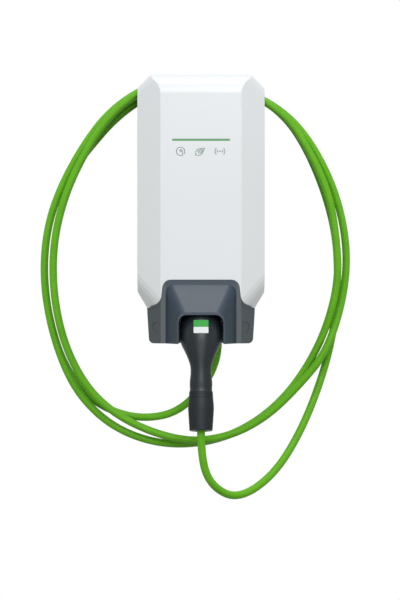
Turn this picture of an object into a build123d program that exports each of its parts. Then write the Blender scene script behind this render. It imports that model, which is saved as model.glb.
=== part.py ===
from build123d import *
import os
from math import atan2, cos, degrees, exp, pi, radians, sin, sqrt, tan

# AC charging box for a wall, with its own charging cable and a parked Type 2 connector.
# Millimetres. Y = 0 is the wall, -Y looks out of the wall and +Z is up.
# The origin is the centre of the four wall screws, on the wall's face.

os.makedirs("parts", exist_ok=True)

# Small values that every piece shares
overlap = 1.0
near = 0.01
screw_bite = 0.1
screw_clearance = 0.4

# Wall fixing
ear_spacing_x = 164.0
ear_spacing_z = 260.0
ear_radius = 11.0
ear_thickness = 5.0
ear_web = 24.0
gusset_rise = 10.0
gusset_run = 8.0
gusset_wall = 2.0
wall_hole_radius = 3.25

# Lower edge of the box. The holder, the cable entries and the cover's lower end follow it
holder_bottom = -204.0

# Rear housing, with the arched shelf that carries the coiled cable
housing_width = 132.0
housing_top = 205.0
shelf_drop = 20.0
housing_bottom = holder_bottom + 44.0
housing_wall = 3.0
housing_depth = 47.0
flange_thickness = 4.0
flange_front = housing_depth + flange_thickness
lid_grow = 5.5

# Front cover, a faceted moulded shell
cover_width = 206.0
cover_top = 230.0
cover_back = 48.0
cover_front = 100.0
cover_wall = 2.5
face_width = 130.0
facet_depth = 32.0
top_bend = 34.0
corner_run = 22.6
corner_drop = 20.0
low_corner_start = holder_bottom + 84.0
low_corner_end = holder_bottom + 58.0
low_corner_run = 15.6
low_facet_rise = 12.7
low_corner_reach = 18.0
low_corner_blend = 45.0
soft_corner = 20.0
edge_radius = 2.0
cover_skirt = 4.0
cover_rib = 3.0
cover_rib_wall = 1.5
cover_rib_x = 60.0
cover_rib_rows = (-10.0, -45.0, -80.0)
cover_fit = 0.4
lug_clearance = 1.0
lug_width = 9.5

# Light bar and its board
bar_length = 92.6
bar_height = 3.2
bar_z = 122.0
bar_fit = 0.15
bar_lip = 2.0

# Connector holder, the dark moulding below the cover
holder_top = holder_bottom + 101.6
holder_wall = 3.0
holder_gap = 0.6
holder_step = 1.2
block_half = 60.0
block_foot_half = 64.0
block_foot_z = holder_bottom + 65.4
block_corner = 13.0
block_foot_round = 18.0
wing_slope = 0.385
wing_top_half = 87.0
wing_top_z = holder_bottom + 56.5
wing_bottom_half = 83.4
wing_corner = 8.0
wing_strip = 3.6
wing_groove = 0.9
wing_groove_depth = 0.6

# Hood over the connector's head, with an arched mouth
hood_half = 56.5
hood_inset = 7.0
hood_corner = 14.0
hood_front = 140.0
mouth_half = 35.2
mouth_corner = 13.0
lip_rise = 50.4
lip_wall = 2.5
lip_edge = 1.2

# Screws
screw_x = 71.5
screw_z = holder_bottom + 26.4
cap_radius = 8.0
cap_thickness = 1.5
cap_recess = 0.8
m5_hole = 2.75
m5_shank = 2.5
m5_head_radius = 4.8
m5_head_height = 3.0

# Connector. Its head leans back under the hood and its grip hangs almost upright
head_y = -117.0
head_rise = 14.0
head_tilt = 38.7
nose_radius = 29.0
nose_wall = 3.0
nose_tip = 49.5
cup_fit = 0.4
cup_wall = 2.6
cup_flange = 2.4
cup_floor = 2.5
cup_mouth = 27.0
cup_end_gap = 1.3
cup_edge = 0.8
pocket_back = 58.5
pocket_wall = 2.5

# Charging cable
cable_diameter = 12.5
cable_start = (28.0, -28.0, housing_bottom - 44.0)
cable_below = (28.0, -28.0, housing_bottom - 69.0)
cable_end = (0.0, -153.5, -337.0)
cable_last_bend = (0.0, -162.0, -385.0)
gland_fit = 0.3


def finish(piece, name):
    """Label a finished piece and write its STEP file."""
    piece.label = name
    export_step(piece, f"parts/{name}.step")


def mirrored(points):
    """Close a half outline, given on +X from top to bottom, over the middle."""
    return [(-x, z) for x, z in points] + [(x, z) for x, z in reversed(points)]


# The facet runs back from the front face to the side by this much X for each mm of depth
facet_ratio = (cover_width - face_width) / 2 / facet_depth


def plan_polygon(back, inset):
    """Plan of the faceted body, from above."""
    half = cover_width / 2
    side = -(cover_front - facet_depth)
    outline = [(half, -back), (half, side), (face_width / 2, -cover_front)]
    Polygon(*mirrored(outline), align=None)
    if inset:
        offset(amount=-inset, kind=Kind.INTERSECTION)


def low_corner_planes(side, inset):
    """Planes that cut a lower corner off the cover and blend the cut into the side facet."""
    half = cover_width / 2
    facet_y = facet_depth - cover_front
    front_point = Vector(side * half, facet_y, low_corner_start + low_facet_rise)
    back_point = Vector(side * half, facet_y + low_corner_reach, low_corner_start)
    foot_point = Vector(side * (half - low_corner_run), back_point.Y, low_corner_end)
    facet_normal = Vector(side * facet_depth, face_width / 2 - half, 0).normalized()
    cut_normal = (back_point - front_point).cross(foot_point - front_point).normalized()
    if cut_normal.X * side < 0:
        cut_normal = -cut_normal
    bisector = (facet_normal + cut_normal).normalized()
    centre = front_point - bisector * (low_corner_blend / bisector.dot(cut_normal))
    planes = []
    for share in (0.25, 0.5, 0.75, 1.0):
        normal = (facet_normal * (1 - share) + cut_normal * share).normalized()
        planes.append(Plane(origin=centre + normal * (low_corner_blend - inset), z_dir=normal))
    return planes


def cover_form(inset):
    """Solid outer form of the cover, or the same form moved inwards by inset."""
    half = cover_width / 2
    floor = low_corner_end - cover_skirt
    with BuildPart() as form:
        with BuildSketch(Plane.XZ.offset(cover_back)):
            outline = [
                (half - corner_run, cover_top),
                (half, cover_top - corner_drop),
                (half, floor - inset),
            ]
            Polygon(*mirrored(outline), align=None)
            if inset:
                offset(amount=-inset, kind=Kind.INTERSECTION)
        extrude(amount=cover_front - cover_back - inset)
        with BuildSketch(Plane.XY.offset(floor - 2 * inset)):
            plan_polygon(cover_back - 2 * inset, inset)
        extrude(amount=cover_top - floor + 2 * inset, mode=Mode.INTERSECT)
        front = -(cover_front - inset)
        top = cover_top - inset
        bend = top_bend - inset
        with BuildSketch(Plane.YZ.offset(-half)):
            with BuildLine():
                Polyline(
                    (front, top - bend),
                    (front, floor - 2 * inset),
                    (-cover_back, floor - 2 * inset),
                    (-cover_back, top),
                    (front + bend, top),
                )
                RadiusArc((front + bend, top), (front, top - bend), -bend)
            make_face()
        extrude(amount=cover_width, mode=Mode.INTERSECT)
        for side in (-1, 1):
            for plane in low_corner_planes(side, inset):
                with BuildSketch(plane):
                    Rectangle(4 * half, 4 * half)
                extrude(amount=half, mode=Mode.SUBTRACT)
    return form.part


def skew(edge):
    """True for a straight edge that is parallel to no axis plane."""
    along = edge % 0.5
    return edge.geom_type == GeomType.LINE and min(abs(along.X), abs(along.Y), abs(along.Z)) > 0.05


def holder_outline(grow):
    """Front outline of the connector holder. The cover's cut-out is the same outline, grown."""
    reach = cover_width
    reach_z = block_foot_z - wing_slope * (reach - block_foot_half)
    with BuildSketch(mode=Mode.PRIVATE) as outline:
        upper = [
            (block_half, holder_top),
            (block_foot_half, block_foot_z),
            (reach, reach_z),
            (reach, 2 * holder_bottom),
        ]
        Polygon(*mirrored(upper), align=None)
        corners = outline.vertices().filter_by(lambda v: abs(v.X) < block_half + overlap)
        fillet(corners, block_corner)
        feet = outline.vertices().filter_by(lambda v: abs(v.Y - block_foot_z) < near)
        fillet(feet, block_foot_round)
        if grow:
            offset(amount=grow, kind=Kind.INTERSECTION)
    return outline.sketch


def wing_outline(inset):
    """Front outline of the holder's body, with its tapered sides and round lower corners."""
    with BuildSketch(mode=Mode.PRIVATE) as outline:
        add(holder_outline(0))
        side = (wing_top_half - wing_bottom_half) / (wing_top_z - holder_bottom)
        rise = holder_top - wing_top_z
        tapered = [
            (wing_top_half + side * rise, holder_top),
            (wing_bottom_half, holder_bottom),
        ]
        Polygon(*mirrored(tapered), align=None, mode=Mode.INTERSECT)
        corners = outline.vertices().filter_by(lambda v: abs(v.Y - holder_bottom) < near)
        fillet(corners, wing_corner)
        if inset:
            offset(amount=-inset, kind=Kind.INTERSECTION)
    return outline.sketch


def holder_form(inset):
    """Solid form of the holder's body behind the hood, or the same form moved inwards."""
    with BuildPart() as form:
        with BuildSketch(Plane.XZ.offset(flange_front)):
            add(wing_outline(inset))
        extrude(amount=cover_front - flange_front)
        with BuildSketch(Plane.XY.offset(2 * holder_bottom)):
            plan_polygon(flange_front - inset - holder_step, holder_step + inset)
        extrude(amount=3 * -holder_bottom, mode=Mode.INTERSECT)
    return form.part


hood_back = cover_front - holder_step
hood_top = holder_top - hood_inset
lip_top = holder_bottom + lip_rise
hood_slope = (hood_top - lip_top) / (hood_front - hood_back)


def arch(half, top, foot, corner):
    """Outline with two round upper corners."""
    with BuildSketch(mode=Mode.PRIVATE) as outline:
        Polygon(*mirrored([(half, top), (half, foot)]), align=None)
        fillet(outline.vertices().group_by(Axis.Y)[-1], corner)
    return outline.sketch


def hood_form(wall, front):
    """Hood from the holder's face out to front, or its hollow, inside a wall of that size."""
    drop = wall * sqrt(1 + hood_slope**2)
    foot = holder_bottom - wall
    lip_half = mouth_half if wall else mouth_half + lip_wall
    lip_corner = mouth_corner if wall else mouth_corner + lip_wall
    with BuildPart() as form:
        with BuildSketch(Plane.XZ.offset(hood_back)):
            add(arch(hood_half - wall, hood_top - drop, foot, hood_corner - wall / 2))
        with BuildSketch(Plane.XZ.offset(front)):
            add(arch(lip_half, lip_top - drop - hood_slope * (front - hood_front), foot, lip_corner))
        loft(ruled=True)
    return form.part


# Axes of the connector. The nose points along nose_axis, the grip hangs in line with the cable
grip_tilt = degrees(atan2(cable_end[1] - cable_last_bend[1], cable_end[2] - cable_last_bend[2]))
head_centre = Vector(0, head_y, holder_bottom + head_rise)
nose_axis = Vector(0, sin(radians(head_tilt)), cos(radians(head_tilt)))
grip_axis = Vector(0, sin(radians(grip_tilt)), cos(radians(grip_tilt)))
cable_end_point = Vector(*cable_end)


def across_nose(reach):
    """Plane square to the nose, at a reach from the head's centre towards the tip."""
    return Plane(origin=head_centre + nose_axis * reach, x_dir=(1, 0, 0), z_dir=nose_axis)


def across_grip(reach):
    """Plane square to the grip, at a reach above the cable's end."""
    return Plane(origin=cable_end_point + grip_axis * reach, x_dir=(1, 0, 0), z_dir=grip_axis)


def side_profile(points, half):
    """Solid with a side profile of (Y, Z) points, from -half to +half in X."""
    with BuildPart() as slab:
        with BuildSketch(Plane.YZ):
            Polygon(*points, align=None)
        extrude(amount=half, both=True)
    return slab.part


# Front cover: faceted shell with a slot for the light bar, board posts and screw lugs
board_thickness = 1.6
board_back = 91.0
post_radius = 3.5
post_hole = 1.1
board_edge = 5.0
hmi_width = 110.0
hmi_height = 56.0
hmi_z = 112.0
reader_size = 62.0
reader_z = 40.0
lug_inner = housing_width / 2 + lid_grow + lug_clearance
lug_outer = lug_inner + lug_width
lug_top = holder_bottom + 86.0
lug_foot = holder_bottom + 39.0
lug_thickness = 3.0
m4_hole = 2.2
m4_shank = 1.9
m4_head_radius = 3.6
m4_head_height = 2.4
m4_length = 9.0
cover_screw_x = (lug_inner + lug_outer) / 2
lugs_at = [(side * cover_screw_x, (lug_top + lug_foot) / 2) for side in (-1, 1)]
cover_screw_z = holder_bottom + 47.0
cover_screws_at = [(-cover_screw_x, cover_screw_z), (cover_screw_x, cover_screw_z)]
holder_screws_at = [(-screw_x, screw_z), (screw_x, screw_z)]


def corner_posts(width, height, centre_z):
    """Places of the four screws of a board, in X and Z."""
    x = width / 2 - board_edge
    z = height / 2 - board_edge
    return [(-x, centre_z - z), (x, centre_z - z), (-x, centre_z + z), (x, centre_z + z)]


hmi_posts = corner_posts(hmi_width, hmi_height, hmi_z)
reader_posts = corner_posts(reader_size, reader_size, reader_z)

with BuildPart() as cover_hollow:
    add(cover_form(cover_wall))
    inner_corners = cover_hollow.edges().filter_by(skew).filter_by(lambda e: e.center().Z > 0)
    fillet(inner_corners, soft_corner - cover_wall)

with BuildPart() as front_cover:
    add(cover_form(0))
    corners = front_cover.edges().filter_by(skew).filter_by(lambda e: e.center().Z > 0)
    fillet(corners, soft_corner)
    rims = front_cover.edges().filter_by(
        lambda e: e.center().Y < -cover_back - cover_rib and e.center().Z > low_corner_end + cover_rib
    )
    fillet(rims, edge_radius)
    add(cover_hollow.part, mode=Mode.SUBTRACT)
    with BuildSketch(Plane.XZ.offset(cover_back - overlap)):
        add(holder_outline(holder_gap))
    extrude(amount=cover_front, mode=Mode.SUBTRACT)
    with BuildSketch(Plane.XZ.offset(cover_front - cover_wall - cover_rib)):
        with Locations((-cover_rib_x, 0), (cover_rib_x, 0)):
            Rectangle(cover_rib_wall, 2 * (bar_z - bar_height))
        with Locations([(0, row) for row in cover_rib_rows]):
            Rectangle(2 * cover_rib_x, cover_rib_wall)
        add(holder_outline(holder_gap), mode=Mode.SUBTRACT)
    extrude(amount=cover_rib + cover_wall / 2)
    with BuildSketch(Plane.XZ.offset(board_back)):
        with Locations(hmi_posts, reader_posts):
            Circle(post_radius)
    extrude(amount=cover_front - cover_wall - board_back)
    with BuildSketch(Plane.XZ.offset(board_back)):
        with Locations(hmi_posts, reader_posts):
            Circle(post_hole)
    extrude(amount=cover_front - cover_wall - board_back, mode=Mode.SUBTRACT)
    with BuildSketch(Plane.XZ.offset(cover_front)):
        with Locations((0, bar_z)):
            RectangleRounded(bar_length + 2 * bar_fit, bar_height + 2 * bar_fit, bar_height / 2)
    extrude(amount=-2 * cover_wall, mode=Mode.SUBTRACT)
    with BuildSketch(Plane.XZ.offset(flange_front)):
        with Locations(lugs_at):
            Rectangle(lug_outer - lug_inner, lug_top - lug_foot)
        for side in (-1, 1):
            with BuildLine():
                Polyline(
                    (side * lug_inner, lug_top),
                    (side * (cover_width / 2 - cover_wall / 2), lug_top),
                    (side * (cover_width / 2 - cover_wall / 2), low_corner_start),
                    (side * lug_outer, low_corner_end),
                    (side * lug_inner, low_corner_end),
                    close=True,
                )
            make_face()
        with Locations(cover_screws_at):
            Circle(m4_hole, mode=Mode.SUBTRACT)
    extrude(amount=lug_thickness)
finish(front_cover.part, "front_cover")


# Light bar, a clear moulding with a lip behind the cover's wall
with BuildPart() as light_bar:
    with BuildSketch(Plane.XZ.offset(board_back)):
        with Locations((0, bar_z)):
            RectangleRounded(bar_length, bar_height, 0.45 * bar_height)
    extrude(amount=cover_front - board_back)
    with BuildSketch(Plane.XZ.offset(cover_front - cover_wall)):
        with Locations((0, bar_z)):
            Rectangle(bar_length + 2 * bar_lip, bar_height + 2 * bar_lip)
    extrude(amount=-bar_lip)
finish(light_bar.part, "light_bar")


def cover_board(width, height, posts, centre_z, window):
    """Circuit board behind the cover, screwed to its posts. A window makes it a frame."""
    with BuildPart() as board:
        with BuildSketch(Plane.XZ.offset(board_back)):
            with Locations((0, centre_z)):
                RectangleRounded(width, height, board_edge / 2)
                if window:
                    Rectangle(width - window, height - window, mode=Mode.SUBTRACT)
            with Locations(posts):
                Circle(post_hole + screw_clearance, mode=Mode.SUBTRACT)
        extrude(amount=-board_thickness)
    return board.part


frame_border = 4 * board_edge
finish(cover_board(hmi_width, hmi_height, hmi_posts, hmi_z, 0), "indicator_board")
finish(cover_board(reader_size, reader_size, reader_posts, reader_z, frame_border), "card_reader_antenna")


def screw_group(places, seat, shank, head, head_height, length, out=1):
    """Pan head screws along Y on a seat. Their heads lie towards the room, or the wall if out is -1."""
    with BuildPart() as screws:
        with BuildSketch(Plane.XZ.offset(seat)):
            with Locations(places):
                Circle(head)
        extrude(amount=out * head_height)
        crowns = screws.faces().sort_by(Axis.Y)
        crowns = crowns[: len(places)] if out > 0 else crowns[-len(places) :]
        chamfer(crowns.edges(), head_height / 4)
        with BuildSketch(Plane.XZ.offset(seat)):
            with Locations(places):
                Circle(shank)
        extrude(amount=-out * length)
        with BuildSketch(Plane.XZ.offset(seat + out * head_height)):
            with Locations(places):
                RegularPolygon(head / 2, 6)
        extrude(amount=-out * head_height / 2, mode=Mode.SUBTRACT)
    return screws.part


small_shank = post_hole - screw_bite
small_head = 2.4
small_head_height = 1.6
small_length = 6.0
board_screws_at = hmi_posts + reader_posts
board_face = board_back - board_thickness
screws = screw_group(
    board_screws_at, board_face, small_shank, small_head, small_head_height, small_length, out=-1
)
finish(screws, "cover_board_screws")


# Rear housing: box with an arched shelf, a flange behind the cover and four wall ears
ear_x = ear_spacing_x / 2
ear_z = ear_spacing_z / 2
ear_places = [(-ear_x, -ear_z), (ear_x, -ear_z), (-ear_x, ear_z), (ear_x, ear_z)]
ear_web_x = ear_x - ear_web / 2
web_places = [(-ear_web_x, -ear_z), (ear_web_x, -ear_z), (-ear_web_x, ear_z), (ear_web_x, ear_z)]
gusset_levels = [
    centre + edge * (ear_radius - gusset_wall / 2) for centre in (-ear_z, ear_z) for edge in (-1, 1)
]
board_margin = 7.0
main_width = housing_width - 2 * (housing_wall + board_margin)
main_top = housing_top - shelf_drop - 18.0
main_foot = housing_bottom + 37.0
main_height = main_top - main_foot
main_z = (main_top + main_foot) / 2
main_back = 15.0
main_posts = corner_posts(main_width, main_height, main_z)
insert_radius = 4.5
gland_x = cable_start[0]
gland_y = cable_start[1]
gland_thread = 10.0
vent_thread = 6.0
thread_fit = 0.2
gasket_thickness = 1.5
gasket_out = 0.5
gasket_in = 2.0
lid_thickness = 2.5
lid_screw_out = 3.2
lid_screw_inset = 10.0
lid_shank = 1.4
lid_head = 2.2
lid_head_height = 1.6
lid_length = 5.0
corner_relief = 2.0


def housing_outline(inset):
    """Front outline of the housing's box, arched on top, moved inwards by inset."""
    half = housing_width / 2
    with BuildSketch(mode=Mode.PRIVATE) as outline:
        with BuildLine():
            Polyline(
                (-half, housing_top - shelf_drop),
                (-half, housing_bottom),
                (half, housing_bottom),
                (half, housing_top - shelf_drop),
            )
            ThreePointArc(
                (half, housing_top - shelf_drop),
                (0, housing_top),
                (-half, housing_top - shelf_drop),
            )
        make_face()
        fillet(outline.vertices(), 2 * housing_wall)
        if inset:
            offset(amount=-inset)
    return outline.sketch


lid_screw_x = housing_width / 2 + lid_screw_out
lid_screw_rows = (housing_top - shelf_drop - lid_screw_inset, main_z, housing_bottom + lid_screw_inset)
lid_screws_at = [(x * lid_screw_x, z) for x in (-1, 1) for z in lid_screw_rows]

with BuildPart() as rear_housing:
    with BuildSketch(Plane.XZ):
        add(housing_outline(0))
    extrude(amount=housing_depth)
    with BuildSketch(Plane.XZ):
        with Locations(ear_places):
            Circle(ear_radius)
        with Locations(web_places):
            Rectangle(ear_web, 2 * ear_radius)
    extrude(amount=ear_thickness)
    for level in gusset_levels:
        with BuildSketch(Plane.XY.offset(level)):
            for side in (-1, 1):
                wall_x = side * (housing_width / 2 - overlap)
                tip_x = side * (housing_width / 2 + gusset_run)
                Polygon(
                    (wall_x, -ear_thickness + overlap),
                    (tip_x, -ear_thickness + overlap),
                    (tip_x, -ear_thickness),
                    (wall_x, -ear_thickness - gusset_rise),
                    align=None,
                )
        extrude(amount=gusset_wall / 2, both=True)
    with BuildSketch(Plane.XZ.offset(housing_depth)):
        side_x = cover_width / 2
        foot_x = side_x - low_corner_run - corner_relief
        rim = [
            (side_x - corner_run, cover_top),
            (side_x, cover_top - corner_drop),
            (side_x, low_corner_start + corner_relief),
            (foot_x, low_corner_end),
            (foot_x, low_corner_end - cover_wall),
        ]
        Polygon(*mirrored(rim), align=None)
        offset(amount=-cover_wall - cover_fit, kind=Kind.INTERSECTION)
        add(wing_outline(0))
    extrude(amount=flange_thickness)
    with BuildSketch(Plane.XZ.offset(housing_wall)):
        add(housing_outline(housing_wall))
    extrude(amount=flange_front, mode=Mode.SUBTRACT)
    with BuildSketch(Plane.XZ.offset(housing_wall - overlap)):
        with Locations(main_posts):
            Circle(post_radius)
    extrude(amount=main_back - housing_wall + overlap)
    with BuildSketch(Plane.XZ.offset(main_back)):
        with Locations(main_posts):
            Circle(post_hole)
    extrude(amount=-small_length, mode=Mode.SUBTRACT)
    with BuildSketch(Plane.XZ):
        with Locations(ear_places):
            Circle(wall_hole_radius)
    extrude(amount=ear_thickness, mode=Mode.SUBTRACT)
    with BuildSketch(Plane.XZ.offset(housing_depth)):
        with Locations(cover_screws_at, holder_screws_at):
            Circle(insert_radius)
    extrude(amount=-2 * flange_thickness)
    with BuildSketch(Plane.XZ.offset(flange_front)):
        with Locations(cover_screws_at):
            Circle(m4_shank + screw_bite)
        with Locations(holder_screws_at):
            Circle(m5_shank + screw_bite)
    extrude(amount=-2 * flange_thickness, mode=Mode.SUBTRACT)
    with BuildSketch(Plane.XZ.offset(flange_front)):
        with Locations(lid_screws_at):
            Circle(lid_shank + screw_bite)
    extrude(amount=-flange_thickness, mode=Mode.SUBTRACT)
    with BuildSketch(Plane.XY.offset(housing_bottom)):
        with Locations((-gland_x, gland_y), (gland_x, gland_y)):
            Circle(gland_thread + thread_fit)
        with Locations((0, gland_y)):
            Circle(vent_thread + thread_fit)
    extrude(amount=housing_wall, mode=Mode.SUBTRACT)
finish(rear_housing.part, "rear_housing")


# Lid of the wiring space, with its seal and screws
with BuildPart() as lid_seal:
    with BuildSketch(Plane.XZ.offset(flange_front)):
        add(housing_outline(-gasket_out))
        add(housing_outline(gasket_in), mode=Mode.SUBTRACT)
    extrude(amount=gasket_thickness)
finish(lid_seal.part, "lid_seal")

lid_back = flange_front + gasket_thickness
with BuildPart() as inner_lid:
    with BuildSketch(Plane.XZ.offset(lid_back)):
        add(housing_outline(-lid_grow))
        with Locations(lid_screws_at):
            Circle(lid_shank + screw_clearance, mode=Mode.SUBTRACT)
    extrude(amount=lid_thickness)
finish(inner_lid.part, "inner_lid")
screws = screw_group(
    lid_screws_at, lid_back + lid_thickness, lid_shank, lid_head, lid_head_height, lid_length
)
finish(screws, "lid_screws")


# Electronics on the main board
with BuildPart() as main_board:
    with BuildSketch(Plane.XZ.offset(main_back)):
        with Locations((0, main_z)):
            RectangleRounded(main_width, main_height, board_edge / 2)
        with Locations(main_posts):
            Circle(post_hole + screw_clearance, mode=Mode.SUBTRACT)
    extrude(amount=board_thickness)
finish(main_board.part, "main_board")
board_top = main_back + board_thickness
screws = screw_group(
    main_posts, board_top, small_shank, small_head, small_head_height, small_length
)
finish(screws, "main_board_screws")


def board_block(width, height, depth, x, z, edge):
    """A block with rounded edges that stands on the main board."""
    with BuildPart() as block:
        with BuildSketch(Plane.XZ.offset(board_top)):
            with Locations((x, z)):
                RectangleRounded(width, height, edge)
        extrude(amount=depth)
        chamfer(block.faces().sort_by(Axis.Y)[0].edges(), edge / 2)
    return block.part


relay_size = (36.0, 52.0, 27.0)
relay_z = main_foot + 0.53 * main_height
relay_left_x = -30.0
relay_right_x = 14.0
supply_size = (42.0, 34.0, 24.0)
supply_place = (-24.0, main_foot + 0.87 * main_height)
module_size = (46.0, 29.0, 5.0)
module_place = (24.0, main_foot + 0.74 * main_height)
block_edge = 1.5
finish(board_block(*relay_size, relay_left_x, relay_z, block_edge), "power_relay_left")
finish(board_block(*relay_size, relay_right_x, relay_z, block_edge), "power_relay_right")
finish(board_block(*supply_size, *supply_place, block_edge), "power_supply")
finish(board_block(*module_size, *module_place, block_edge), "control_module")

capacitor_radius = 6.0
capacitor_height = 22.0
capacitor_first_x = 16.0
capacitor_pitch = 14.0
capacitor_z = main_foot + 0.88 * main_height
capacitor_count = 3
capacitors_at = [(capacitor_first_x + i * capacitor_pitch, capacitor_z) for i in range(capacitor_count)]
with BuildPart() as capacitors:
    with BuildSketch(Plane.XZ.offset(board_top)):
        with Locations(capacitors_at):
            Circle(capacitor_radius)
    extrude(amount=capacitor_height)
    fillet(capacitors.faces().sort_by(Axis.Y)[:capacitor_count].edges(), capacitor_radius / 6)
finish(capacitors.part, "capacitors")

sensor_radius = 19.0
sensor_bore = 10.0
sensor_depth = 15.0
sensor_place = (28.0, main_foot + 0.28 * main_height)
with BuildPart() as residual_current_sensor:
    with BuildSketch(Plane.XZ.offset(board_top)):
        with Locations(sensor_place):
            Circle(sensor_radius)
            Circle(sensor_bore, mode=Mode.SUBTRACT)
    extrude(amount=sensor_depth)
    fillet(residual_current_sensor.faces().sort_by(Axis.Y)[0].edges(), block_edge)
finish(residual_current_sensor.part, "residual_current_sensor")

pole_pitch = 8.5
terminal_height = 26.0
terminal_depth = 22.0
terminal_margin = 2.0
terminals_z = housing_bottom + 60.0
supply_terminals_x = -28.0
cable_terminals_x = 26.0
pole_count = 5
wire_radius = 2.6
wire_height = 6.6
wire_depth = 15.6
well_depth = 8.8


def terminal_block(x):
    """Row of screw terminals with wire holes below and screw wells in front."""
    width = pole_count * pole_pitch + terminal_margin
    places = [((i - (pole_count - 1) / 2) * pole_pitch, 0) for i in range(pole_count)]
    with BuildPart() as block:
        with BuildSketch(Plane.XZ.offset(board_top)):
            with Locations((x, terminals_z)):
                Rectangle(width, terminal_height)
        extrude(amount=terminal_depth)
        with BuildSketch(Plane.XZ.offset(board_top + terminal_depth)):
            with Locations((x, terminals_z)):
                with Locations(places):
                    Circle(wire_radius)
        extrude(amount=-well_depth, mode=Mode.SUBTRACT)
        with BuildSketch(Plane.XY.offset(terminals_z - terminal_height / 2)):
            with Locations((x, -board_top - wire_height)):
                with Locations(places):
                    Circle(wire_radius)
        extrude(amount=wire_depth, mode=Mode.SUBTRACT)
    return block.part


finish(terminal_block(supply_terminals_x), "supply_terminals")
finish(terminal_block(cable_terminals_x), "cable_terminals")


# Cable entries in the housing's bottom: gland bodies, lock nuts, cap nuts and the vent
hex_height = 8.0
hex_radius = 14.5
thread_length = 14.0
cap_height = 16.0
cap_foot = housing_bottom - hex_height - cap_height
nut_height = 5.0
dome_radius = 14.2
dome_foot_radius = 11.3
dome_height = 5.0
cable_radius = cable_diameter / 2
gland_bore = cable_radius + gland_fit
tail_top = housing_bottom + 42.0


def gland_body(x):
    """Threaded body from below the housing's wall up into the box."""
    with BuildPart() as body:
        with BuildSketch(Plane.XY.offset(housing_bottom - hex_height)):
            with Locations((x, gland_y)):
                RegularPolygon(hex_radius, 6)
        extrude(amount=hex_height)
        with BuildSketch(Plane.XY.offset(housing_bottom - hex_height)):
            with Locations((x, gland_y)):
                Circle(gland_thread)
        extrude(amount=hex_height + thread_length)
        with BuildSketch(Plane.XY.offset(housing_bottom - hex_height)):
            with Locations((x, gland_y)):
                Circle(gland_bore)
        extrude(amount=hex_height + thread_length, mode=Mode.SUBTRACT)
    return body.part


def lock_nut(x):
    """Flat nut on the gland's thread inside the box."""
    with BuildPart() as nut:
        with BuildSketch(Plane.XY.offset(housing_bottom + housing_wall)):
            with Locations((x, gland_y)):
                RegularPolygon(hex_radius, 6)
                Circle(gland_thread + thread_fit, mode=Mode.SUBTRACT)
        extrude(amount=nut_height)
    return nut.part


def cap_nut(x, bore):
    """Dome nut that squeezes the seal, with a domed lower end."""
    with BuildPart() as nut:
        with BuildSketch(Plane.XY.offset(cap_foot)):
            with Locations((x, gland_y)):
                RegularPolygon(hex_radius, 6)
        extrude(amount=cap_height)
        with BuildSketch(Plane(origin=(x, gland_y, cap_foot), x_dir=(1, 0, 0), z_dir=(0, -1, 0))):
            Polygon(
                (0, 0),
                (dome_foot_radius, 0),
                (dome_radius, dome_height),
                (dome_radius, cap_height),
                (0, cap_height),
                align=None,
            )
        revolve(axis=Axis((x, gland_y, cap_foot), (0, 0, 1)), mode=Mode.INTERSECT)
        with BuildSketch(Plane.XY.offset(cap_foot)):
            with Locations((x, gland_y)):
                Circle(bore)
        extrude(amount=cap_height, mode=Mode.SUBTRACT)
    return nut.part


finish(gland_body(gland_x), "cable_gland_body")
finish(lock_nut(gland_x), "cable_gland_lock_nut")
finish(cap_nut(gland_x, gland_bore), "cable_gland_nut")
finish(gland_body(-gland_x), "supply_gland_body")
finish(lock_nut(-gland_x), "supply_gland_lock_nut")
finish(cap_nut(-gland_x, gland_bore), "supply_gland_nut")


blank_height = 6.0
blank_flange = 2.0
blank_edge = 0.6
with BuildPart() as supply_gland_plug:
    with BuildSketch(Plane.XY.offset(cap_foot - blank_flange)):
        with Locations((-gland_x, gland_y)):
            Circle(gland_bore + blank_flange)
    extrude(amount=blank_flange)
    with BuildSketch(Plane.XY.offset(cap_foot)):
        with Locations((-gland_x, gland_y)):
            Circle(gland_bore - thread_fit)
    extrude(amount=blank_height)
    chamfer(supply_gland_plug.edges().sort_by(Axis.Z)[0], blank_edge)
finish(supply_gland_plug.part, "supply_gland_plug")

vent_hex_radius = 9.0
vent_hex_height = 4.2
vent_cap_radius = 7.2
vent_cap_height = 3.0
vent_edge = 1.2
vent_thread_length = 7.0
with BuildPart() as pressure_vent:
    with BuildSketch(Plane.XY.offset(housing_bottom)):
        with Locations((0, gland_y)):
            RegularPolygon(vent_hex_radius, 6)
    extrude(amount=-vent_hex_height)
    with BuildSketch(Plane.XY.offset(housing_bottom - vent_hex_height)):
        with Locations((0, gland_y)):
            Circle(vent_cap_radius)
    extrude(amount=-vent_cap_height)
    fillet(pressure_vent.edges().sort_by(Axis.Z)[0], vent_edge)
    with BuildSketch(Plane.XY.offset(housing_bottom)):
        with Locations((0, gland_y)):
            Circle(vent_thread)
    extrude(amount=vent_thread_length)
finish(pressure_vent.part, "pressure_vent")

# Bend relief below the gland, tapered, with the cable's free length starting at its foot
relief_length = cap_foot - cable_start[2]
relief_foot_wall = 1.6
relief_top_wall = 3.4
with BuildPart() as bend_relief:
    with BuildSketch(Plane(origin=(gland_x, gland_y, cable_start[2]), x_dir=(1, 0, 0), z_dir=(0, -1, 0))):
        Polygon(
            (gland_bore, 0),
            (gland_bore + relief_foot_wall, 0),
            (gland_bore + relief_top_wall, relief_length),
            (gland_bore, relief_length),
            align=None,
        )
    revolve(axis=Axis((gland_x, gland_y, 0), (0, 0, 1)))
finish(bend_relief.part, "bend_relief")

with BuildPart() as cable_tail:
    with BuildSketch(Plane.XY.offset(cable_start[2])):
        with Locations((gland_x, gland_y)):
            Circle(cable_radius)
    extrude(amount=tail_top - cable_start[2])
finish(cable_tail.part, "cable_tail")

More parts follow.
